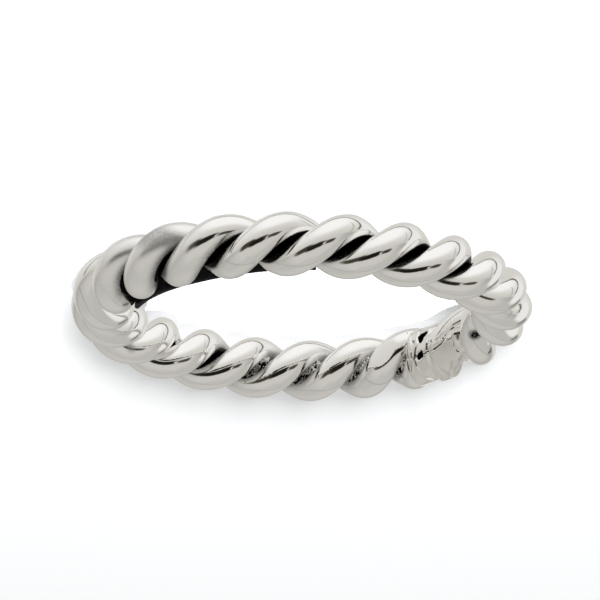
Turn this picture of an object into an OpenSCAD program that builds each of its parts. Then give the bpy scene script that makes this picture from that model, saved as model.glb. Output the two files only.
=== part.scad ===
// Rope twist ring: two round silver wires twisted into a rope, bent into a ring and closed
// with a solder joint. A thin backing strip lines the inside of the rope across from the joint.
// The ring lies on its side: the finger goes through along Z and the ring rests on Z = 0.

/* [Ring] */
// Clear diameter inside the rope, where the finger goes
finger_d = 17.3; // [15:0.1:21]
// Direction of the solder joint round the ring, from +X
seam_at = 134; // [0:1:359]

/* [Rope] */
// Thickness of each round wire
wire_d = 1.58; // [1.2:0.02:2]
// Clear gap between the two wires where they cross the rope's own centre line
wire_gap = 0.04; // [0.02:0.01:0.1]
// Length of one full twist, in wire thicknesses
lay = 3.72; // [3.6:0.02:6]
// Place of the first wire round the rope at the solder joint, 0 is outermost
twist_at_seam = 173; // [0:1:359]

/* [Hand-made form] */
// Extra turn of the wires past the joint, where the rope opened up
loose_twist = 145; // [0:5:180]
// Angle from the joint to where the wires are back in their even twist
loose_spread = 40; // [20:1:60]
// How far the rope is pressed in beside the joint
flat_depth = 0.5; // [0:0.05:0.8]
// How far the rope sags along Z at the same place
flat_sag = 0.36; // [0:0.02:0.6]
// Angle from the joint to the middle of the pressed stretch
flat_from_seam = 27; // [10:1:60]
// Half of the angle that the pressed stretch takes
flat_spread = 74; // [50:1:90]

/* [Solder joint] */
// Length of the solder joint along the rope
joint_len = 2.2; // [1:0.05:3]
// Share of the rope's thickness that the joint has
joint_fill = 0.94; // [0.85:0.01:1]
// Clear gap between the joint and each cut end of the rope
joint_gap = 0.03; // [0.02:0.01:0.1]

/* [Backing strip] */
// Angle from the joint to the middle of the backing strip
strip_from_seam = 171; // [150:1:210]
// Width of the backing strip along Z
strip_w = 2.1; // [1.2:0.05:2.4]
// Thickness of the backing strip
strip_t = 0.25; // [0.15:0.05:0.4]
// Half of the angle that the backing strip takes round the ring
strip_spread = 38; // [20:1:60]
// Clear gap between the backing strip and the wires pressed against it
strip_gap = 0.03; // [0.02:0.01:0.1]
// Rounding of the strip's long edges
strip_round = 0.1; // [0.05:0.01:0.12]

/* [Smoothness] */
// Sides of each wire
wire_sides = 14; // [10:1:14]
// Rings of points in one full twist of a wire
twist_steps = 18; // [12:1:18]

/* [Hidden] */
silver = [0.83, 0.82, 0.79];
oxide = [0.09, 0.09, 0.09];
// Distance from each wire's centre line to the rope's own, and the rope's radius
wire_off = (wire_d + wire_gap) / 2;
rope_r = wire_off + wire_d / 2;
ring_r = finger_d / 2 + rope_r;
turns = round(2 * PI * ring_r / (lay * wire_d));
// The rope starts and ends at the joint's faces
joint_half = (joint_len / 2 + joint_gap) / ring_r * 180 / PI;
rope_from = seam_at + joint_half;
rope_to = seam_at + 360 - joint_half;
rope_rings = ceil(turns * twist_steps);
// The strip lies inside the wires, which are pressed flat over it
strip_mid = seam_at + strip_from_seam;
strip_in_r = finger_d / 2;
press_r = strip_in_r + strip_t + strip_gap;
press_half = strip_spread + 360 / rope_rings + strip_gap / ring_r * 180 / PI;
// The ring rests on the sagging stretch and on the side opposite to it
flat_at = seam_at + flat_from_seam;
rest_tilt = asin(flat_sag / 2 / ring_r);
rest_axis = [sin(flat_at), -cos(flat_at), 0];
// Half step in degrees for the direction of a wire
probe = 0.5;

// Share of the pressed stretch at one direction: 1 in its middle, 0 outside it
function turned(angle) = (angle % 360 + 540) % 360 - 180;
function pressed(angle) =
    let (off = turned(angle - flat_at))
    abs(off) < flat_spread ? (1 + cos(180 * off / flat_spread)) / 2 : 0;

// The rope's own centre line as radius and height
function rope_radius(angle) = ring_r - flat_depth * pressed(angle);
function rope_height(angle) = -flat_sag * pressed(angle);

// Place of a wire round the rope. It grows with the angle, which makes a left-hand rope. Past
// the joint the twist starts further on and slows down to the even twist.
function opened(beyond) = loose_twist * pow(max(1 - beyond / loose_spread, 0), 2);
function lean(angle, side) =
    let (beyond = angle - seam_at) twist_at_seam + side + turns * beyond + opened(beyond);
function outward(angle, side) =
    let (a = lean(angle, side)) [cos(angle) * cos(a), sin(angle) * cos(a), sin(a)];
function wire_centre(angle, side) =
    let (r = rope_radius(angle))
    [r * cos(angle), r * sin(angle), rope_height(angle)] + wire_off * outward(angle, side);
function unit(v) = v / norm(v);
function wire_point(angle, side, round_angle) =
    let (
        along = unit(wire_centre(angle + probe, side) - wire_centre(angle - probe, side)),
        rough = outward(angle, side),
        out = unit(rough - (rough * along) * along),
        across = cross(along, out)
    )
    wire_centre(angle, side) + wire_d / 2 * (cos(round_angle) * out + sin(round_angle) * across);

// Angle by which a point lies past a direction, and the point moved along its wire until
// it lies in that direction, so that each ring of points is flat and faces along the rope
function past(p, angle) =
    atan2(p.y * cos(angle) - p.x * sin(angle), p.x * cos(angle) + p.y * sin(angle));
function cut_angle(at, angle, side, round_angle, tries) =
    tries == 0 ? at
    : cut_angle(at - past(wire_point(at, side, round_angle), angle), angle, side, round_angle, tries - 1);
function cut_point(angle, side, round_angle) =
    let (p = wire_point(cut_angle(angle, angle, side, round_angle, 4), side, round_angle))
    [norm([p.x, p.y]), p.z];

// Wires over the backing strip are pressed flat on the inside of the ring
function seated(r, angle) =
    abs(turned(angle - strip_mid)) < press_half ? max(r, press_r) : r;
function ring_of_points(angle, side) = [
    for (i = [0:wire_sides - 1])
        let (q = cut_point(angle, side, 360 * i / wire_sides), r = seated(q[0], angle))
        [r * cos(angle), r * sin(angle), q[1]]
];
function strand_points(side) = [
    for (k = [0:rope_rings])
        each ring_of_points(rope_from + (rope_to - rope_from) * k / rope_rings, side)
];
// Each four-sided patch is split along its shorter diagonal, which follows the wire
function patch(a, b, sides, short) = short
    ? [[a, a + sides, b + sides], [a, b + sides, b]]
    : [[a, a + sides, b], [b, a + sides, b + sides]];
function tube_faces(rings, sides) = concat(
    [for (i = [1:sides - 2]) [0, i, i + 1]],
    [
        for (k = [0:rings - 1]) for (i = [0:sides - 1])
            each patch(k * sides + i, k * sides + (i + 1) % sides, sides, cos(360 * (i + 0.5) / sides) > 0)
    ],
    [for (i = [1:sides - 2]) [rings * sides, rings * sides + i + 1, rings * sides + i]]
);

points_a = strand_points(0);
points_b = strand_points(180);

// The model's own origin is under the middle of its bounding box
function rested(p) =
    cos(rest_tilt) * p + sin(rest_tilt) * cross(rest_axis, p)
    + (1 - cos(rest_tilt)) * (rest_axis * p) * rest_axis;
rested_points = [for (p = concat(points_a, points_b)) rested(p)];
xs = [for (p = rested_points) p.x];
ys = [for (p = rested_points) p.y];
zs = [for (p = rested_points) p.z];
seat = [-(max(xs) + min(xs)) / 2, -(max(ys) + min(ys)) / 2, -min(zs)];

module rest() {
    translate(seat) rotate(a = rest_tilt, v = rest_axis) children();
}

module strand(points) {
    rest() polyhedron(points, tube_faces(rope_rings, wire_sides), convexity = 10);
}

module strand_a() {
    color(silver) strand(points_a);
}

module strand_b() {
    color(silver) strand(points_b);
}

// Short plain length of solder that fills the rope between its two cut ends
module solder_joint() {
    half = joint_len / 2 / ring_r * 180 / PI;
    color(silver)
    rest()
    translate([0, 0, rope_height(seam_at)])
    rotate([0, 0, seam_at - half])
    rotate_extrude(angle = 2 * half, $fn = 96)
    translate([rope_radius(seam_at), 0])
    circle(r = rope_r * joint_fill, $fn = 48);
}

// Flat strip with rounded long edges, bent round the inside of the ring
module strip_section() {
    edge = min(strip_round, 0.45 * strip_t);
    translate([edge, 0]) square([strip_t - 2 * edge, strip_w]);
    translate([0, edge]) square([strip_t, strip_w - 2 * edge]);
    for (x = [edge, strip_t - edge]) for (y = [edge, strip_w - edge])
        translate([x, y]) circle(r = edge, $fn = 24);
}

module backing_strip() {
    color(oxide)
    rest()
    rotate([0, 0, strip_mid - strip_spread])
    rotate_extrude(angle = 2 * strip_spread, $fn = 180)
    translate([strip_in_r, -strip_w / 2])
    strip_section();
}

strand_a();
strand_b();
solder_joint();
backing_strip();
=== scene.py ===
# Rope twist ring. Two round silver wires are twisted to the left into a rope, the rope is bent into a
# ring and closed with solder, and a thin blackened strip backs the grooves of the front arc.
# The ring lies on its side on a pale table. All lengths below are in millimetres. Angles are in
# radians, and in the tables in degrees.
import math

import bmesh
import bpy
from mathutils import Matrix, Vector, noise


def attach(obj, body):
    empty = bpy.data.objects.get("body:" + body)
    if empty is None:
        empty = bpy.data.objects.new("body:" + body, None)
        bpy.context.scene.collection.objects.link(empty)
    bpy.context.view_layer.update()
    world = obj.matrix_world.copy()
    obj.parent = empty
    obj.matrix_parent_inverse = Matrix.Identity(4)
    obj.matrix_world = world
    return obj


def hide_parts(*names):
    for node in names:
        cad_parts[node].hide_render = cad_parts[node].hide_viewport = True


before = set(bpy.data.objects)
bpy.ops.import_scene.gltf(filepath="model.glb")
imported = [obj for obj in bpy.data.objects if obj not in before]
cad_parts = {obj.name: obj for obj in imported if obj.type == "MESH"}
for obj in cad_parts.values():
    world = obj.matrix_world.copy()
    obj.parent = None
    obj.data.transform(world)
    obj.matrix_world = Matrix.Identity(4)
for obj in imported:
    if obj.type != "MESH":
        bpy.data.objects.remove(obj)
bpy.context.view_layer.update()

MM = 0.001

# The ring and its rope, as the part's source has them
FINGER_D = 17.3
WIRE_GAP = 0.04
SOURCE_WIRE_D = 1.58
ROPE_R = SOURCE_WIRE_D + WIRE_GAP / 2
RING_R = FINGER_D / 2 + ROPE_R
TURNS = 11
SEAM_AT = math.radians(134)
TWIST_AT_SEAM = math.radians(173)
JOINT_LEN = 2.2
JOINT_HALF = JOINT_LEN / 2
LOOSE_TWIST = math.radians(145)
LOOSE_SPREAD = math.radians(40)

# The stretch that was pressed in by hand, and how the ring lies because of it
FLAT_DEPTH = 0.5
FLAT_SAG = 0.36
FLAT_AT = SEAM_AT + math.radians(27)
FLAT_SPREAD = math.radians(74)
REST_TILT = math.asin(FLAT_SAG / 2 / RING_R)
RING_CENTRE = Vector((-0.1945, 0.0003, 1.784))

# The two wires touch here, so each is a little thicker than in the source and is pressed flat
# against the other where they cross the rope's own centre line
WIRE_R = 0.8076
WIRE_OFF = 0.778
TOUCH = 0.004
WIRE_SIDES = 68
STEPS_A_TURN = 72

# The backing strip
STRIP_W = 2.1
STRIP_T = 0.25
STRIP_SPREAD = math.radians(38)
STRIP_AT = SEAM_AT + math.radians(171)
STRIP_IN_R = FINGER_D / 2
PRESS_R = STRIP_IN_R + STRIP_T + 0.012
# Degrees past the strip's end at which the wires are back in their round form
PRESS_PAST_STRIP = 7

REST_AXIS = Vector((math.sin(FLAT_AT), -math.cos(FLAT_AT), 0))
REST_TURN = Matrix.Rotation(REST_TILT, 3, REST_AXIS)


def smooth(low, high, value):
    """0 below low, 1 above high, and an even rise between them."""
    t = min(max((value - low) / (high - low), 0), 1)
    return t * t * (3 - 2 * t)


def turned(angle):
    """The same direction as an angle from -180 to 180 degrees."""
    return (angle + math.pi) % math.tau - math.pi


def pressed(angle):
    off = turned(angle - FLAT_AT)
    return (1 + math.cos(math.pi * off / FLAT_SPREAD)) / 2 if abs(off) < FLAT_SPREAD else 0


def rope_radius(angle):
    return RING_R - FLAT_DEPTH * pressed(angle)


def rope_height(angle):
    return -FLAT_SAG * pressed(angle)


def lean(angle, side):
    """Place of a wire round the rope. It grows with the angle, which makes a left-hand rope. Past
    the joint the twist starts further on and slows down to the even twist."""
    beyond = (angle - SEAM_AT) % math.tau
    opened = LOOSE_TWIST * max(1 - beyond / LOOSE_SPREAD, 0) ** 2
    return TWIST_AT_SEAM + side + TURNS * beyond + opened


def rope_point(angle, across, up):
    """A point beside the rope's own centre line, in the ring's own frame."""
    r = rope_radius(angle) + across
    return Vector((r * math.cos(angle), r * math.sin(angle), rope_height(angle) + up))


def beside_rope(angle, turn, out, beside=0.0):
    """A point at a place round the rope: so far out of its centre line, and so far beside that."""
    across = out * math.cos(turn) - beside * math.sin(turn)
    up = out * math.sin(turn) + beside * math.cos(turn)
    return rope_point(angle, across, up)


def wire_point(angle, side):
    """A point of a wire's own centre line."""
    return beside_rope(angle, lean(angle, side), WIRE_OFF)


def lay_down(p):
    """From the ring's own frame to where it lies, in metres."""
    return (REST_TURN @ p + RING_CENTRE) * MM


def stand_up(p):
    """From metres where it lies back to the ring's own frame."""
    return REST_TURN.transposed() @ (p / MM - RING_CENTRE)


def rope_offsets(p):
    """Angle round the ring, and the distances outwards and upwards from the rope's centre line."""
    angle = math.atan2(p.y, p.x)
    return angle, math.hypot(p.x, p.y) - rope_radius(angle), p.z - rope_height(angle)


def rope_turn(p):
    """Place of a point round the rope, 0 at the outermost."""
    _, across, up = rope_offsets(p)
    return math.atan2(up, across)


def joint_place(p):
    """Millimetres along the rope from the middle of the joint, and the place round the rope."""
    return turned(math.atan2(p.y, p.x) - SEAM_AT) * RING_R, rope_turn(p)


def rope_place(p, side):
    """Angle round the ring, and the distances out along a wire's own side and across it."""
    angle, across, up = rope_offsets(p)
    a = lean(angle, side)
    out = across * math.cos(a) + up * math.sin(a)
    beside = up * math.cos(a) - across * math.sin(a)
    return angle, out, beside


def only(piece):
    """Selects one piece and makes it the active one."""
    bpy.ops.object.select_all(action="DESELECT")
    piece.select_set(True)
    bpy.context.view_layer.objects.active = piece


def move_points(piece, move):
    """Moves every point of a piece by a function of its place in the ring's own frame."""
    for v in piece.data.vertices:
        v.co = lay_down(move(stand_up(v.co)))
    piece.data.update()


def add_attribute(piece, name, value):
    """Keeps a number for each point, which a function gives from its place in the ring's own frame."""
    layer = piece.data.attributes.new(name, "FLOAT", "POINT")
    layer.data.foreach_set("value", [value(stand_up(v.co)) for v in piece.data.vertices])


def ship(piece, node, material):
    """Hands a finished piece over, in place of a node of the source where it has one."""
    only(piece)
    bpy.ops.object.shade_smooth_by_angle(angle=math.radians(40))
    piece.data.materials.clear()
    piece.data.materials.append(material)
    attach(piece, "root")
    if node:
        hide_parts(node)


# Materials


def srgb(code):
    """A hex colour as the linear colour that a shader takes."""
    parts = [int(code[i : i + 2], 16) / 255 for i in (1, 3, 5)]
    return [c / 12.92 if c <= 0.04045 else ((c + 0.055) / 1.055) ** 2.4 for c in parts] + [1]


def add_node(tree, kind, *inputs, out=None, **settings):
    """Adds a node with its settings. Its inputs, in order or by name, are values or other nodes'
    outputs. Gives the output of that name, or else the first one."""
    node = tree.nodes.new("ShaderNode" + kind)
    named = {name: value for name, value in settings.items() if name in node.inputs}
    for name, value in settings.items():
        if name not in named:
            setattr(node, name, value)
    sockets = [socket for socket in node.inputs if socket.enabled]
    pairs = [*zip(sockets, inputs), *((node.inputs[name], value) for name, value in named.items())]
    for socket, value in pairs:
        if isinstance(value, bpy.types.NodeSocket):
            tree.links.new(value, socket)
        else:
            socket.default_value = value
    return node.outputs[out] if out else next(socket for socket in node.outputs if socket.enabled)


def new_material(name):
    material = bpy.data.materials.new(name)
    material.use_nodes = True
    tree = material.node_tree
    return material, tree, tree.nodes["Principled BSDF"]


def in_millimetres(tree):
    """The piece's own coordinates in millimetres."""
    place = add_node(tree, "TexCoord", out="Object")
    return add_node(tree, "Mapping", place, Scale=[1 / MM] * 3)


def polished_silver(name, code):
    """Sterling silver, drawn as wire or filed as solder and then tumbled to a soft warm mirror with
    faint ripples. It was dipped in black oxide that was polished off again but for the grooves,
    and the left lobes were left satin."""
    material, tree, shader = new_material(name)
    where = in_millimetres(tree)
    grain_size, cloud_size, ripple_size, mark_size = 0.12, 0.9, 0.55, 0.07
    ripple_height, mark_height = 0.004, 0.0009
    mirror, brushed, satin_rise, oxide_rise = 0.05, 0.11, 0.26, 0.4
    groove = add_node(tree, "Attribute", attribute_name="groove", out="Fac")
    tarnish_and_reflection = add_node(tree, "Attribute", attribute_name="tarnish_and_reflection", out="Fac")
    satin = add_node(tree, "Attribute", attribute_name="satin", out="Fac")
    fine = add_node(tree, "TexNoise", where, Scale=1 / grain_size, Detail=4)
    broad = add_node(tree, "TexNoise", where, Scale=1 / cloud_size, Detail=3)

    # The black has a ragged edge, and the grey beside it, a painted reflection of the black groove on
    # the next flank, is cloudy
    grain = add_node(tree, "Math", fine, 0.5, operation="SUBTRACT")
    ragged = add_node(tree, "Math", grain, 0.22, groove, operation="MULTIPLY_ADD")
    black = add_node(tree, "MapRange", ragged, 0.45, 0.57, interpolation_type="SMOOTHSTEP")
    both = add_node(tree, "Math", fine, broad, operation="ADD")
    clouds = add_node(tree, "MapRange", both, 0.7, 1.25, 0.55, 1, interpolation_type="SMOOTHSTEP")
    grey = add_node(tree, "Math", tarnish_and_reflection, clouds, operation="MULTIPLY")
    darkening = add_node(tree, "Math", black, grey, operation="MAXIMUM")
    colour = add_node(tree, "Mix", darkening, srgb(code), srgb("#0a0908"), data_type="RGBA")
    tree.links.new(colour, shader.inputs["Base Color"])

    shader.inputs["Metallic"].default_value = 1
    ends = 0.35, 0.7, mirror, brushed
    polish = add_node(tree, "MapRange", broad, *ends, interpolation_type="SMOOTHSTEP")
    dulled = add_node(tree, "Math", satin, satin_rise, polish, operation="MULTIPLY_ADD")
    rough = add_node(tree, "Math", darkening, oxide_rise, dulled, operation="MULTIPLY_ADD")
    tree.links.new(rough, shader.inputs["Roughness"])

    waves = add_node(tree, "TexNoise", where, Scale=1 / ripple_size, Detail=3.6)
    ripple = add_node(tree, "Bump", Strength=1, Distance=ripple_height * MM, Height=waves)
    pits = add_node(tree, "TexNoise", where, Scale=1 / mark_size, Detail=3)
    marks = add_node(tree, "Bump", Strength=1, Distance=mark_height * MM, Height=pits, Normal=ripple)
    tree.links.new(marks, shader.inputs["Normal"])
    return material


def black_oxide(name):
    """Silver strip blackened in a liver of sulphur bath and left as it came out: a deep matt black
    with a few pale flecks of lint and polish caught in it."""
    material, tree, shader = new_material(name)
    where = in_millimetres(tree)
    lint_size, grit_size, grit_height = 0.16, 0.1, 0.01
    lint = add_node(tree, "TexNoise", where, Scale=1 / lint_size, Detail=5)
    flecks = add_node(tree, "MapRange", lint, 0.66, 0.74, interpolation_type="SMOOTHSTEP")
    colour = add_node(tree, "Mix", flecks, srgb("#050505"), srgb("#4a4946"), data_type="RGBA")
    tree.links.new(colour, shader.inputs["Base Color"])
    shader.inputs["Roughness"].default_value = 0.5
    shader.inputs["Specular IOR Level"].default_value = 0.12
    grit = add_node(tree, "TexNoise", where, Scale=1 / grit_size, Detail=3)
    rough_skin = add_node(tree, "Bump", Strength=1, Distance=grit_height * MM, Height=grit)
    tree.links.new(rough_skin, shader.inputs["Normal"])
    return material


# Pieces


def drawn_wire(name, side):
    """A round wire along its own line in the rope, longer than the rope by a little at each end."""
    spare = math.radians(4) - JOINT_HALF / RING_R
    start, end = SEAM_AT - spare, SEAM_AT + math.tau + spare
    steps = TURNS * STEPS_A_TURN
    data = bpy.data.curves.new(name, "CURVE")
    data.dimensions = "3D"
    data.bevel_depth = WIRE_R * MM
    data.bevel_resolution = WIRE_SIDES // 2
    data.resolution_u = 1
    line = data.splines.new("POLY")
    line.points.add(steps)
    for k, point in enumerate(line.points):
        p = lay_down(wire_point(start + (end - start) * k / steps, side))
        point.co = (*p, 1)
    wire = bpy.data.objects.new(name, data)
    bpy.context.collection.objects.link(wire)
    only(wire)
    bpy.ops.object.convert(target="MESH")
    layer = wire.data.attributes.new("along", "FLOAT", "POINT")
    count = len(wire.data.vertices)
    layer.data.foreach_set("value", [i // WIRE_SIDES / steps for i in range(count)])
    return wire


def cut_at_joint(wire):
    """Cuts both ends flush with the joint. The points near one end are selected for each cut."""
    near_end = math.radians(14) / math.tau
    for sign in (1, -1):
        angle = SEAM_AT + sign * JOINT_HALF / RING_R
        only(wire)
        bpy.ops.object.mode_set(mode="EDIT")
        bpy.ops.mesh.select_all(action="DESELECT")
        mesh = bmesh.from_edit_mesh(wire.data)
        along = mesh.verts.layers.float["along"]
        for v in mesh.verts:
            v.select = v[along] < near_end if sign > 0 else v[along] > 1 - near_end
        mesh.select_flush(True)
        bmesh.update_edit_mesh(wire.data)
        normal = REST_TURN @ Vector((-math.sin(angle), math.cos(angle), 0)) * sign
        bpy.ops.mesh.bisect(
            plane_co=lay_down(rope_point(angle, 0, 0)),
            plane_no=normal,
            use_fill=True,
            clear_inner=True,
            threshold=1e-5 * MM,
        )
        bpy.ops.object.mode_set(mode="OBJECT")


def press_wire(p, side):
    """Presses a wire flat against the other wire and against the backing strip, and files the
    inside of the last lobe before the joint a little flat."""
    angle, out, beside = rope_place(p, side)
    p = beside_rope(angle, lean(angle, side), max(out, TOUCH), beside)
    past_strip = math.degrees(abs(turned(angle - STRIP_AT)) - STRIP_SPREAD)
    before_joint = math.degrees(turned(SEAM_AT - angle))
    filed = 0.85 * smooth(2, 6, before_joint) * (1 - smooth(16, 26, before_joint))
    share = 1 if past_strip < PRESS_PAST_STRIP else filed
    seat = PRESS_R - (PRESS_R - STRIP_IN_R) * smooth(0.5, PRESS_PAST_STRIP, past_strip)
    r = math.hypot(p.x, p.y)
    wider = 1 + share * max(seat - r, 0) / r
    return Vector((p.x * wider, p.y * wider, p.z))


# Stretches of the ring with their own stain: the direction of the middle, how far the stain is
# whole to each side and where it has faded out, in degrees
FRONT_ARC = (280, 56, 66)
FAR_GROOVE = (61, 7, 12)
SATIN_LOBES = (316, 13, 21)

# How far the black reaches out of the rope's centre line: on the flanks where it was kept, on the
# rubbed flanks at their foot, at least and at most there, and in the back
KEPT_REACH = 0.8
RUBBED_REACH = 0.92
LEAST_REACH = 0.4
MOST_REACH = 1.25
BACK_REACH = 0.85
# How much further it reaches with each degree up a rubbed flank, and round the ring to the right
REACH_UP_FLANK = 0.0047
REACH_TO_RIGHT = 0.0055
# The depth over which the black sets in
BLACK_EDGE = 0.6


def share_of(stretch, angle):
    """1 in a stretch of the ring, and 0 where it has faded out."""
    middle, whole, faded = (math.radians(value) for value in stretch)
    return 1 - smooth(whole, faded, abs(turned(angle - middle)))


def black_depth(angle, turn, beside):
    """How far out of the rope's centre line the black reaches. It was rubbed off from one side, so
    it reaches further out on one flank of each groove than on the other."""
    if beside < 0:
        return KEPT_REACH
    left = smooth(math.radians(276), math.radians(286), angle % math.tau)
    up_flank = min(math.degrees(turn), 30 + 60 * left)
    to_right = math.degrees(turned(math.radians(264) - angle))
    reach = RUBBED_REACH + REACH_UP_FLANK * up_flank + REACH_TO_RIGHT * to_right
    return min(max(reach, LEAST_REACH), MOST_REACH)


def groove_at(p, side):
    """How deep a point lies in the black of a groove: half at its edge, and more inside it. The
    front arc is black on both flanks, and one groove of the back on its inner one."""
    angle, out, beside = rope_place(p, side)
    turn = rope_turn(p)
    depth = math.hypot(out, beside)
    share = share_of(FRONT_ARC, angle)
    inner_flank = beside > 0 and math.degrees(turn % math.tau) > 110
    kept = share_of(FAR_GROOVE, angle) if inner_flank else 0
    inside_front = (black_depth(angle, turn, beside) - depth) / BLACK_EDGE
    inside_back = (BACK_REACH - depth) / BLACK_EDGE
    front = min(max(0.5 + inside_front, 0), 1) * share
    back = min(max(0.5 + inside_back, 0), 1) * kept
    return max(front, back, joint_black_at(p) if share == 0 else 0)


# Soot that stayed on the skin of the rope
SOOT = {
    # middle and half size, in degrees round the ring and round the rope, and how dark it is
    "over_left_lobe": (308, -24, 13, 34, 0.42),
    "right_crevice": (168.7, 137, 2.9, 19, 1.15),
    "left_specks": (24, 118, 3, 16, 0.4),
}


def soot_at(angle, turn):
    """How dark the soot is at a place on the rope's skin."""
    darkest = 0
    for at_angle, at_turn, half_angle, half_turn, share in SOOT.values():
        off_angle = math.degrees(turned(angle - math.radians(at_angle))) / half_angle
        off_turn = math.degrees(turned(turn - math.radians(at_turn))) / half_turn
        darkest = max(darkest, share * (1 - smooth(0.3, 1, math.hypot(off_angle, off_turn))))
    return darkest


def tarnish_and_reflection_at(p, side):
    """Painted reflection of the black as thin grey beside it, and tarnish in the grooves of the back.
    """
    angle, out, beside = rope_place(p, side)
    turn = rope_turn(p)
    depth = math.hypot(out, beside)
    direction = math.degrees(angle % math.tau)
    left = smooth(274, 292, direction)
    strength = 0.15 + 0.5 * left if beside > 0 else 0.5 * smooth(0, 30, math.degrees(turn))
    edge = black_depth(angle, turn, beside)
    spread = 0.5 if left > 0.5 else 0.3
    # Painted reflection: thin grey fading out from the black's edge, stronger on the satin left lobes
    front = share_of(FRONT_ARC, angle) * strength * (1 - smooth(edge, edge + spread, depth))
    far_arc = smooth(48, 60, direction) * (1 - smooth(122, 132, direction))
    back = 0.5 * far_arc * (1 - smooth(0.75, 1.3, depth))
    return max(front, soot_at(angle, turn), back)


def strand(node, side, material):
    wire = drawn_wire(node + "_wire", side)
    cut_at_joint(wire)
    move_points(wire, lambda p: press_wire(p, side))
    add_attribute(wire, "groove", lambda p: groove_at(p, side))
    add_attribute(wire, "tarnish_and_reflection", lambda p: tarnish_and_reflection_at(p, side))
    add_attribute(wire, "satin", lambda p: share_of(SATIN_LOBES, math.atan2(p.y, p.x)))
    ship(wire, node, material)


def face_out(piece):
    """Turns all faces of a piece outwards."""
    only(piece)
    bpy.ops.object.mode_set(mode="EDIT")
    bpy.ops.mesh.select_all(action="SELECT")
    bpy.ops.mesh.normals_make_consistent(inside=False)
    bpy.ops.object.mode_set(mode="OBJECT")


def spun_section(name, section, from_angle, to_angle, steps):
    """A flat outline, given as radius and height, spun round the ring's own axis and closed."""
    data = bpy.data.meshes.new(name)
    corners = [Vector((r * math.cos(from_angle), r * math.sin(from_angle), z)) for r, z in section]
    data.from_pydata([lay_down(c) for c in corners], [], [list(range(len(corners)))])
    piece = bpy.data.objects.new(name, data)
    bpy.context.collection.objects.link(piece)
    only(piece)
    bpy.ops.object.mode_set(mode="EDIT")
    bpy.ops.mesh.select_all(action="SELECT")
    bpy.ops.mesh.spin(
        steps=steps,
        angle=-(to_angle - from_angle),
        center=lay_down(Vector()),
        axis=REST_TURN @ Vector((0, 0, 1)),
    )
    bpy.ops.object.mode_set(mode="OBJECT")
    face_out(piece)
    return piece


def rounded_box(r0, r1, z0, z1, edge, sides):
    """Corners of a rectangle with round corners, as radius and height."""
    corners = []
    r_in, r_out, z_low, z_high = r0 + edge, r1 - edge, z0 + edge, z1 - edge
    centres = ((r_out, z_high), (r_in, z_high), (r_in, z_low), (r_out, z_low))
    for quarter, (r, z) in enumerate(centres):
        for k in range(sides + 1):
            a = math.pi / 2 * (quarter + k / sides)
            corners.append((r + edge * math.cos(a), z + edge * math.sin(a)))
    return corners


def backing_strip(material):
    """A flat strip with rounded long edges, bent round the inside of the rope. Its upper edge is
    cut lower towards the end where the strip starts."""
    edge, narrowed_by, narrowed_over = 0.1, 0.24, 46
    half_width = STRIP_W / 2
    section = rounded_box(STRIP_IN_R, STRIP_IN_R + STRIP_T, -half_width, half_width, edge, 6)
    start, end = STRIP_AT - STRIP_SPREAD, STRIP_AT + STRIP_SPREAD
    piece = spun_section("backing_strip_band", section, start, end, 120)

    def narrower(p):
        from_end = math.degrees(turned(math.atan2(p.y, p.x) - start))
        if p.z > 0:
            p.z -= narrowed_by * (1 - smooth(0, narrowed_over, from_end)) * p.z / half_width
        return p

    move_points(piece, narrower)
    ship(piece, "backing_strip", material)


def lobed_radius(off, rate):
    """How far the rope's skin is from its own centre line, at an angle from the middle of a wire.
    Across the rope each wire is an oval, because it crosses the cut on a slant. Rate is how fast
    the wire turns round the rope."""
    slant = math.atan(rate * WIRE_OFF / RING_R)
    tall, wide = WIRE_R, WIRE_R / math.cos(slant)
    c, s = math.cos(off) / tall, math.sin(off) / wide
    m = WIRE_OFF / tall
    lower = c * c + s * s
    return (abs(c) * m + math.sqrt(max((c * m) ** 2 - lower * (m * m - 1), 0))) / lower


def joint_lean(along):
    """Place of the wires round the rope in the joint, where one twist goes over into the other."""
    left, right = (lean(SEAM_AT + end / RING_R, 0) for end in (-JOINT_HALF, JOINT_HALF))
    if abs(along) < JOINT_HALF:
        return left + turned(right - math.pi - left) * (along + JOINT_HALF) / (2 * JOINT_HALF)
    return lean(SEAM_AT + along / RING_R, 0)


# Millimetres along the rope's skin in one degree round it
ROPE_ARC = math.radians(1.47)
# How far along the rope from the middle of the joint the marks reach at most
MARKED_HALF = 4.5

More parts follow.
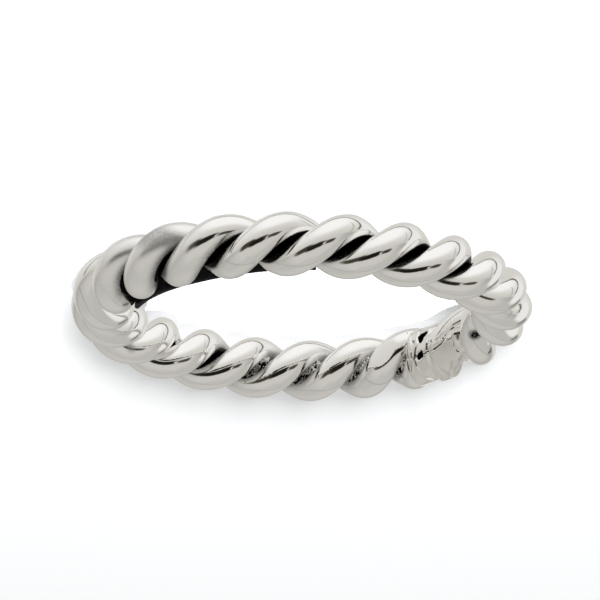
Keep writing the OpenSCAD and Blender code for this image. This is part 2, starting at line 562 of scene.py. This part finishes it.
# Marks of the soldered stretch, on its skin
SOLDER_MARKS = {
    # corners of a line, as millimetres along the rope from the middle of the joint and degrees
    # round it from outermost, half width, how far it stands up or sinks in, and how black it is
    # The black of the pits, pores, dot, notch and edge and crease lines is partly oxide left in them
    # and partly painted shade of these hollows
    "rough_column": (((-1.2, 230), (-0.75, 187), (-0.74, 161)), 0.2, 0.05, 0),
    "column_edge": (((-1.42, 230), (-0.98, 187), (-0.96, 160)), 0.06, -0.07, 0.7),
    "leaf": (((-0.42, 230), (-0.18, 186), (-0.42, 160)), 0.16, 0.06, 0),
    "upper_pit": (((0.14, 194), (0.03, 203), (0.36, 206)), 0.3, -0.3, 3.2),
    "lower_pit": (((-0.02, 157), (0.28, 160)), 0.29, -0.22, 1.7),
    "band": (((0.69, 214), (0.98, 180), (0.9, 160)), 0.15, 0.06, 0),
    "band_edge": (((1.0, 207), (1.2, 180), (1.12, 160), (0.5, 158)), 0.06, -0.07, 0.8),
    "long_ridge": (((1.55, 163), (2.2, 170), (2.6, 178), (2.95, 187), (3.9, 199)), 0.13, 0.12, 0),
    "long_crease": (((1.25, 158), (1.64, 159), (2.37, 163), (2.95, 171), (3.4, 177)), 0.08, -0.06, 0.8),
    "dot": (((1.45, 174), (1.5, 177)), 0.09, -0.1, 1.6),
    "left_fan": (((-0.5, 155), (-0.85, 130), (-1.15, 103)), 0.12, 0.04, 0),
    "right_fan": (((-0.43, 155), (-0.29, 132), (-0.32, 105)), 0.12, 0.05, 0),
    "valley": (((0.95, 152), (0.7, 124), (0.25, 85)), 0.2, -0.1, 0),
    "notch": (((-0.25, 108), (-0.3, 80)), 0.12, -0.16, 0.7),
    "blob": (((0.35, 74), (1.3, 82), (2.2, 99), (2.5, 106)), 0.5, 0.16, 0),
    "high_pore": (((3.72, 153), (3.66, 148)), 0.08, -0.1, 1.3),
    "low_pore": (((3.62, 138), (3.68, 133)), 0.08, -0.1, 1.3),
    "filed_outside": (((1.2, 5), (1.2, 45)), 0.75, -0.34, 0),
}
# Marks whose top is flat
FLAT_TOPPED = ("rough_column", "blob")


def line_share(along, turn, line, half):
    """1 on a line over the rope's skin and 0 from half a width away on. The line's corners are
    given as millimetres along the rope and degrees round it."""
    x, y = along, math.degrees(turn % math.tau) * ROPE_ARC
    nearest = half
    for (x0, turn0), (x1, turn1) in zip(line, line[1:]):
        y0, y1 = turn0 * ROPE_ARC, turn1 * ROPE_ARC
        dx, dy = x1 - x0, y1 - y0
        t = min(max(((x - x0) * dx + (y - y0) * dy) / (dx * dx + dy * dy), 0), 1)
        nearest = min(nearest, math.hypot(x - x0 - t * dx, y - y0 - t * dy))
    return 1 - smooth(0, 1, nearest / half)


def solder_level(along, turn):
    """How far out of the rope's centre line the solder fills its grooves. On the upper and inner
    side it ran on past the joint and was filed round with the wires."""
    turn = math.degrees(turned(turn)) % 360
    inner_end = 160 + 13 * smooth(2.8, 3.6, along)
    ran_on = smooth(50, 100, turn) * (1 - smooth(inner_end, inner_end + 22, turn))
    fills_to = 1.25 + ran_on * (0.7 + 2.4 * smooth(95, 140, turn))
    sunk = 0.22 * smooth(1.0, 1.3, -along)
    level = 1.4 + 0.14 * ran_on * smooth(0.8, 1.5, along) - sunk
    return level * (1 - 0.35 * smooth(fills_to - 0.6, fills_to + 0.6, along))


def solder_skin(along, turn, sunk=0.0):
    """Radius of the soldered stretch: the twist runs on faintly through it, under its marks."""
    blend = 14
    beyond = max(along / RING_R, 0) / LOOSE_SPREAD
    rate = TURNS - 2 * LOOSE_TWIST / LOOSE_SPREAD * max(1 - beyond, 0)
    wires = lobed_radius(turn - joint_lean(along), rate) - sunk
    radius = (wires**blend + solder_level(along, turn) ** blend) ** (1 / blend)
    radius = min(radius, ROPE_R * 0.985)
    for name, (line, half, height, _) in SOLDER_MARKS.items():
        share = line_share(along, turn, line, half)
        if name in FLAT_TOPPED:
            share = min(share * 2, 1)
        if name == "rough_column":
            share *= 1 + 0.3 * noise.noise(Vector((along * 14, turn * 20, 3.1)))
        radius += height * share
    return radius


def solder_black(along, turn):
    """How black the joint's pits, pores and crease lines are: oxide left in them, and painted shade of
    these deep hollows.
    """
    marks = SOLDER_MARKS.values()
    return max(black * line_share(along, turn, line, half) for line, half, _, black in marks)


def joint_black_at(p):
    """The same for any point of the ring."""
    along, turn = joint_place(p)
    return solder_black(along, turn) if abs(along) < MARKED_HALF else 0


def solder_joint(material):
    """A ring of points round the rope, spun along it, then moved out to the joint's skin. Both
    ends reach a little over the wires and draw in."""
    overlap = 0.16
    half = JOINT_HALF + overlap
    sides, rings = 330, 150
    r, h = rope_radius(SEAM_AT), rope_height(SEAM_AT)
    turns = [math.tau * i / sides for i in range(sides)]
    section = [(r + math.cos(turn), h + math.sin(turn)) for turn in turns]
    start, end = SEAM_AT - half / RING_R, SEAM_AT + half / RING_R
    piece = spun_section("solder_joint_bead", section, start, end, rings)

    def to_skin(p):
        along, turn = joint_place(p)
        inside = smooth(0, overlap, half - abs(along))
        radius = solder_skin(along, turn) * (0.62 + 0.38 * inside)
        return beside_rope(math.atan2(p.y, p.x), turn, radius)

    move_points(piece, to_skin)
    add_attribute(piece, "groove", joint_black_at)
    ship(piece, "solder_joint", material)


def grid_shares(name, along_steps, across_steps):
    """A new grid, and for each of its points the shares of its length and of its width."""
    bpy.ops.mesh.primitive_grid_add(x_subdivisions=along_steps, y_subdivisions=across_steps, size=2)
    piece = bpy.context.object
    piece.name = piece.data.name = name
    return piece, [(v, (v.co.x + 1) / 2, (v.co.y + 1) / 2) for v in piece.data.vertices]


def give_back(piece, thickness):
    """Turns a grid's faces outwards and gives it a back, which makes it a closed skin."""
    face_out(piece)
    back = piece.modifiers.new("back", "SOLIDIFY")
    back.thickness = thickness * MM
    back.offset = -1
    bpy.ops.object.modifier_apply(modifier="back")


def solder_flow(material):
    """A grid laid over the rope past the joint, where solder filled a groove and was filed round.
    Its edges sink under the wires' skin."""
    first, length = 0.95, 3.7
    first_turn, turns = math.radians(-20), math.radians(250)
    wires_sunk, edges_sunk = 0.03, 0.09
    piece, points = grid_shares("solder_flow", 190, 190)
    for v, share, round_share in points:
        along = first + length * share
        turn = first_turn + turns * round_share
        inside = smooth(0, 0.035, share) * smooth(0, 0.06, 1 - share)
        inside *= smooth(0, 0.05, round_share) * smooth(0, 0.05, 1 - round_share)
        radius = solder_skin(along, turn, wires_sunk) - edges_sunk * (1 - inside)
        v.co = lay_down(beside_rope(SEAM_AT + along / RING_R, turn, radius))
    add_attribute(piece, "groove", joint_black_at)
    give_back(piece, 0.12)
    ship(piece, None, material)


# Lumpy solder and dirt left in the grooves of the back
GROOVE_FILLS = {
    # which groove, from and to in degrees round the rope, depth out of its centre line, half
    # width, roughness and black share
    "groove_fill_1": (0, 100, 165, 0.87, 0.62, 0.17, 0.36),
    "groove_fill_2": (1, 100, 205, 0.84, 0.5, 0.17, 0.42),
    "groove_fill_3": (2, 100, 205, 0.84, 0.5, 0.17, 0.55),
    "groove_fill_4": (3, 100, 215, 0.86, 0.5, 0.17, 0.55),
    "groove_fill_5": (8, 122, 172, 0.9, 0.26, 0.2, 0.3),
}


def groove_fill(name, groove, from_turn, to_turn, depth, half_width, rough, black, material):
    """A grid laid along a groove of the rope, roughened into grains and given a back. It's narrow
    at its first end, and at both ends it sinks in."""
    piece, points = grid_shares(name, 110, 72)
    blacks, hazes = [], []
    for v, share, wide_share in points:
        beside = (2 * wide_share - 1) * half_width * (0.3 + 0.7 * smooth(0, 0.4, share))
        turn = math.radians(from_turn + (to_turn - from_turn) * share)
        angle = SEAM_AT + (turn - TWIST_AT_SEAM - math.pi / 2 - math.pi * groove) / TURNS
        # Coarse lumps, fine grains and rounded cells, other ones in each groove
        base = Vector((angle * RING_R, turn * depth * 0.35, beside + groove * 7.7))
        coarse, fine = noise.noise(base * 3.1), noise.noise(base * 11)
        cell = noise.voronoi(base * 6.5)[0][0]
        lump = coarse * 0.6 + fine * 0.35 - cell * 0.9 + 0.35
        inside = smooth(0, 0.16, share) * smooth(0, 0.16, 1 - share)
        crystals = smooth(0.55, 0.72, share)
        blacks.append(black - 1.3 * (lump + 0.04 + 0.3 * crystals))
        hazes.append((0.62 - 0.5 * crystals) * min(2 * black, 1))
        out = depth * (0.72 + 0.28 * inside) + rough * lump
        v.co = lay_down(beside_rope(angle, turn, out, beside))
    for darkening, values in (("groove", blacks), ("tarnish_and_reflection", hazes)):
        layer = piece.data.attributes.new(darkening, "FLOAT", "POINT")
        layer.data.foreach_set("value", values)
    give_back(piece, 0.25)
    ship(piece, None, material)


# Room


def table_top():
    """A white table that glows a little, so that the ring's shadow on it stays soft. The ring
    doesn't mirror it: what shines up from below is part of the light tent."""
    bpy.ops.mesh.primitive_plane_add(size=2)
    top = bpy.context.object
    top.name = "table_top"
    top.visible_glossy = False
    material, tree, shader = new_material("white_card")
    shader.inputs["Base Color"].default_value = srgb("#f1f3f6")
    shader.inputs["Roughness"].default_value = 0.9
    shader.inputs["Specular IOR Level"].default_value = 0
    shader.inputs["Emission Color"].default_value = srgb("#f4f8ff")
    shader.inputs["Emission Strength"].default_value = 0.16
    top.data.materials.append(material)


# Soft patches that the ring mirrors: the dark opening of the tent, with what stands beside the
# camera, and a side window
PATCHES = {
    # in degrees the middle round the ring from the camera's side, the middle above the table, half
    # width and half height, then how soft the edge is and how bright the patch is
    "side_window": (-112, -10, 18, 33, 0.6, 0.86),
    "window_frame": (-139, 11, 3.5, 11, 0.5, 0.16),
    "side_pole": (-81, -5, 1.4, 42, 0.4, 0.42),
    "left_shade": (-39, 18, 15, 8, 0.7, 0.06),
    "right_shade": (38, 11, 22, 13, 0.8, 0.05),
    "opening": (4, 18.5, 28, 13, 0.6, 0.012),
    "gap": (-22, 19, 2.6, 3.2, 0.3, 0.85),
}
# Thin seams of the tent: the way that each one's plane faces, how far off it runs, its half
# width as a share of the distance, its brightness, and whether it is only above or below the table
SEAMS = {
    "over_the_front": ((0.37, 0.83, 0.41), 0.585, 0.018, 0.32, 1),
    "under_the_camera": ((0, 1.0, 0.27), 0, 0.045, 0.1, -1),
}
# The tent's cloth above and below the table's height: the brightness it starts from, then each
# one that it goes over into, between which degrees round from the camera's side and above the table
SKY_LEVEL = 0.61
SKY = {
    "sides": (0.52, (50, 100), None),
    "back": (0.57, (120, 160), None),
    "top": (0.54, None, (60, 80)),
    "low_sides": (0.44, (50, 90), (32, 4)),
}
BELOW_LEVEL = 0.82
BELOW = {
    "horizon": (0.62, None, (-50, 5)),
    "behind": (0.68, (120, 165), None),
}


def fade(tree, value, start, end):
    """A soft rise from 0 at the start to 1 at the end. Both are in degrees and the value isn't."""
    ends = math.radians(start), math.radians(end)
    return add_node(tree, "MapRange", value, *ends, interpolation_type="SMOOTHSTEP")


def cloth_level(tree, side, elevation, level, zones):
    """Nodes for the brightness of a part of the tent's cloth."""
    for there, round_by, above_by in zones.values():
        share = fade(tree, side, *round_by) if round_by else 1
        if above_by:
            rise = fade(tree, elevation, *above_by)
            share = add_node(tree, "Math", share, rise, operation="MULTIPLY")
        level = add_node(tree, "Mix", share, level, there)
    return level


def soft_patch(tree, azimuth, elevation, middle, half, edge):
    """Nodes for a patch with soft edges on the tent: 1 inside it and 0 outside. Angles in degrees."""
    powers = []
    for value, centre, reach in zip((azimuth, elevation), middle, half):
        off = add_node(tree, "Math", value, math.radians(centre), operation="SUBTRACT")
        off = add_node(tree, "Math", off, operation="ABSOLUTE")
        share = add_node(tree, "Math", off, math.radians(reach), operation="DIVIDE")
        powers.append(add_node(tree, "Math", share, 3, operation="POWER"))
    out = add_node(tree, "Math", *powers, operation="ADD")
    return add_node(tree, "MapRange", out, 1 + edge, 1 - edge, interpolation_type="SMOOTHSTEP")


def seam_line(tree, where, z, facing, offset, half, only_side):
    """Nodes for a thin line round the tent: 1 on it and 0 beside it."""
    facing = Vector(facing).normalized()
    along = add_node(tree, "VectorMath", where, facing, operation="DOT_PRODUCT")
    off = add_node(tree, "Math", along, offset, operation="SUBTRACT")
    off = add_node(tree, "Math", off, operation="ABSOLUTE")
    line = add_node(tree, "MapRange", off, half, half * 0.4, interpolation_type="SMOOTHSTEP")
    height = add_node(tree, "Math", z, only_side, operation="MULTIPLY")
    there = add_node(tree, "MapRange", height, 0.1, 0.2, interpolation_type="SMOOTHSTEP")
    return add_node(tree, "Math", line, there, operation="MULTIPLY")


def floor_lamp(tree, where, y, z):
    """Nodes for the bright lobe of the lamp below the camera, with a straight edge at its top."""
    below_table, dark_from, bright_within = (math.radians(value) for value in (68, 50, 16))
    edge_slope, edge_soft = 0.27, 0.02
    aim = Vector((-0.1, -math.cos(below_table), -math.sin(below_table))).normalized()
    facing = add_node(tree, "VectorMath", where, aim, operation="DOT_PRODUCT")
    ends = math.cos(dark_from), math.cos(bright_within)
    lobe = add_node(tree, "MapRange", facing, *ends, interpolation_type="SMOOTHSTEP")
    height = add_node(tree, "Math", z, edge_slope, y, operation="MULTIPLY_ADD")
    panel = add_node(tree, "MapRange", height, edge_soft, -edge_soft, interpolation_type="SMOOTHSTEP")
    return add_node(tree, "Math", lobe, panel, operation="MULTIPLY")


def light_tent():
    """A pale tent with a bright front below, and the dark opening that the camera looks in by."""
    world = bpy.data.worlds.new("light_tent")
    bpy.context.scene.world = world
    world.use_nodes = True
    tree = world.node_tree
    where = add_node(tree, "TexCoord", out="Generated")
    x, y, z = (add_node(tree, "SeparateXYZ", where, out=axis) for axis in "XYZ")
    front = add_node(tree, "Math", y, -1, operation="MULTIPLY")
    azimuth = add_node(tree, "Math", x, front, operation="ARCTAN2")
    elevation = add_node(tree, "Math", z, operation="ARCSINE")
    side = add_node(tree, "Math", azimuth, operation="ABSOLUTE")

    sky = cloth_level(tree, side, elevation, SKY_LEVEL, SKY)
    below = cloth_level(tree, side, elevation, BELOW_LEVEL, BELOW)
    below = add_node(tree, "Mix", floor_lamp(tree, where, y, z), below, 0.98)
    tent = add_node(tree, "Mix", fade(tree, elevation, -3, 3), below, sky)
    for across, up, half_w, half_h, edge, level in PATCHES.values():
        patch = soft_patch(tree, azimuth, elevation, (across, up), (half_w, half_h), edge)
        tent = add_node(tree, "Mix", patch, tent, level)
    for facing, offset, half, level, only_side in SEAMS.values():
        line = seam_line(tree, where, z, facing, offset, half, only_side)
        tent = add_node(tree, "Mix", line, tent, level)
    # What the picture shows past the table is near white
    seen = add_node(tree, "LightPath", out="Is Camera Ray")
    tent = add_node(tree, "Mix", seen, tent, 0.95)

    # Bright cloth is nearly white, pale cloth is cream and the dark parts are brown
    bright = add_node(tree, "MapRange", tent, 0.66, 0.9, interpolation_type="SMOOTHSTEP")
    cream, white, brown = (1, 0.978, 0.925, 1), (1, 0.995, 0.98, 1), (1, 0.9, 0.62, 1)
    cloth = add_node(tree, "Mix", bright, cream, white, data_type="RGBA")
    lit = add_node(tree, "MapRange", tent, 0, 0.32, interpolation_type="LINEAR")
    colour = add_node(tree, "Mix", lit, brown, cloth, data_type="RGBA")
    background = tree.nodes["Background"]
    tree.links.new(colour, background.inputs["Color"])
    tree.links.new(tent, background.inputs["Strength"])


def lamp(name, kind, place, aim, power, **settings):
    """A lamp that shines from one place at another. The ring doesn't mirror it."""
    data = bpy.data.lights.new(name, kind)
    data.energy = power
    for setting, value in settings.items():
        setattr(data, setting, value)
    light = bpy.data.objects.new(name, data)
    light.location = Vector(place) * MM
    light.rotation_euler = (Vector(place) - Vector(aim)).to_track_quat("Z", "Y").to_euler()
    light.visible_glossy = False
    bpy.context.collection.objects.link(light)


def lamps():
    """A low soft box behind the camera, and over the camera a narrow lamp that lights the table
    inside the ring."""
    size = {"shape": "RECTANGLE", "size": 70 * MM, "size_y": 50 * MM}
    lamp("low_soft_box", "AREA", (-18, -389, 97), (0, 0, 0), 4.1, **size)
    beam = {"spot_size": math.radians(6.1), "spot_blend": 0.3, "shadow_soft_size": 4 * MM}
    lamp("spot_above", "SPOT", (0, -128, 153), (0, 1, 0), 2.4, **beam)


def camera():
    """Above the table, at the photo's angle to the ring, and turned over so that the front arc is
    the upper one in the picture, as in the photo."""
    azimuth, elevation = math.radians(0.31), math.radians(17.892)
    roll = math.radians(-179.21)
    distance = 266.5
    aim = RING_CENTRE + Vector((0.265, -0.151, -0.471))
    flat = math.cos(elevation)
    back = Vector((math.sin(azimuth) * flat, -math.cos(azimuth) * flat, math.sin(elevation)))
    data = bpy.data.cameras.new("camera")
    data.sensor_width = 36
    data.lens = 317.07
    data.clip_start, data.clip_end = 0.01, 10
    eye = bpy.data.objects.new("camera", data)
    eye.location = (aim + distance * back) * MM
    upright = back.to_track_quat("Z", "Y").to_matrix()
    eye.rotation_euler = (upright @ Matrix.Rotation(roll, 3, "Z")).to_euler()
    bpy.context.collection.objects.link(eye)
    bpy.context.scene.camera = eye


def main():
    camera()
    silver = polished_silver("polished_sterling_silver", "#f8f7f5")
    solder = polished_silver("silver_solder", "#f0eeea")
    black = black_oxide("black_silver_oxide")
    strand("strand_a", 0, silver)
    strand("strand_b", math.pi, silver)
    backing_strip(black)
    solder_joint(solder)
    solder_flow(solder)
    for name, sizes in GROOVE_FILLS.items():
        groove_fill(name, *sizes, solder)
    table_top()
    light_tent()
    lamps()
    bpy.context.scene.view_settings.view_transform = "Standard"


main()
